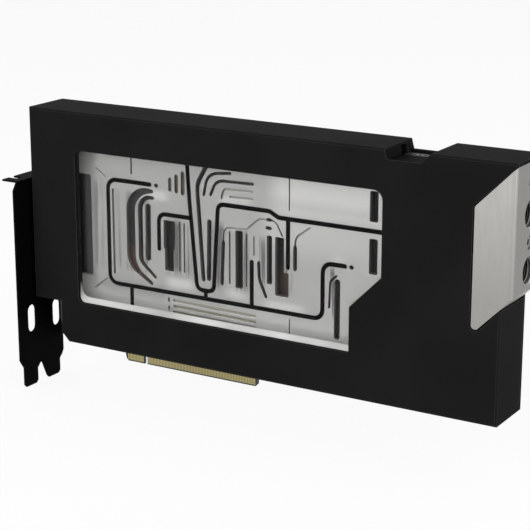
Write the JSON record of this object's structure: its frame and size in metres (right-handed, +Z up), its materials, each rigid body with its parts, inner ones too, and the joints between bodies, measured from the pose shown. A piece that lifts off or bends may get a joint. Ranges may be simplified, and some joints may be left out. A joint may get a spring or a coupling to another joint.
{
  "type": "gpu water block",
  "caption": "Full-cover liquid cooling block on a graphics card, with a clear window over milled channels, threaded ports at one end and a slot bracket at the other.",
  "frame": {"origin": "middle of the underside of the slot bracket's tab, the face that seats on a computer's chassis", "axes": "+X along the card away from the bracket, -Y out of the window, +Z up from the edge contacts to the power connector"},
  "size_m": [0.3001, 0.0424, 0.1603],
  "materials": {
    "black_anodised": "matt black anodised",
    "clear_acrylic": "polished clear acrylic",
    "nickel": "satin nickel plating on copper",
    "nickel_port": "brushed nickel plating on brass",
    "black_rubber": "soft matt rubber",
    "steel_screw": "bright steel",
    "black_screw": "blackened steel",
    "board": "black solder mask",
    "gold": "gold plating",
    "green_laminate": "green laminate",
    "silicon": "polished silicon",
    "chip": "moulded chip",
    "thermal_pad": "soft pad",
    "ferrite": "pressed ferrite",
    "can": "bright can",
    "connector": "black moulding",
    "bracket": "fine black powder coat",
    "socket_shell": "plated shell"
  },
  "bodies": {
    "root": {"cover": "black_anodised", "clear_plate": "clear_acrylic", "cold_plate": "nickel", "flow_gasket": "black_rubber", "clear_plate_screws": "steel_screw", "port_block": "nickel_port", "port_block_seals": "black_rubber", "port_block_screws": "steel_screw", "circuit_board": "board", "edge_contacts": "gold", "processor_package": "green_laminate", "processor_die": "silicon", "memory_chips": "chip", "memory_pads": "thermal_pad", "power_stages": "chip", "power_stage_pads": "thermal_pad", "chokes": "ferrite", "capacitors": "can", "power_connector": "connector", "power_pins": "gold", "io_bracket": "bracket", "bracket_screws": "steel_screw", "display_sockets": "socket_shell", "video_socket": "socket_shell", "backplate": "black_anodised", "backplate_pads": "thermal_pad", "backplate_screws": "black_screw", "cover_screws": "black_screw"}
  },
  "joints": []
}
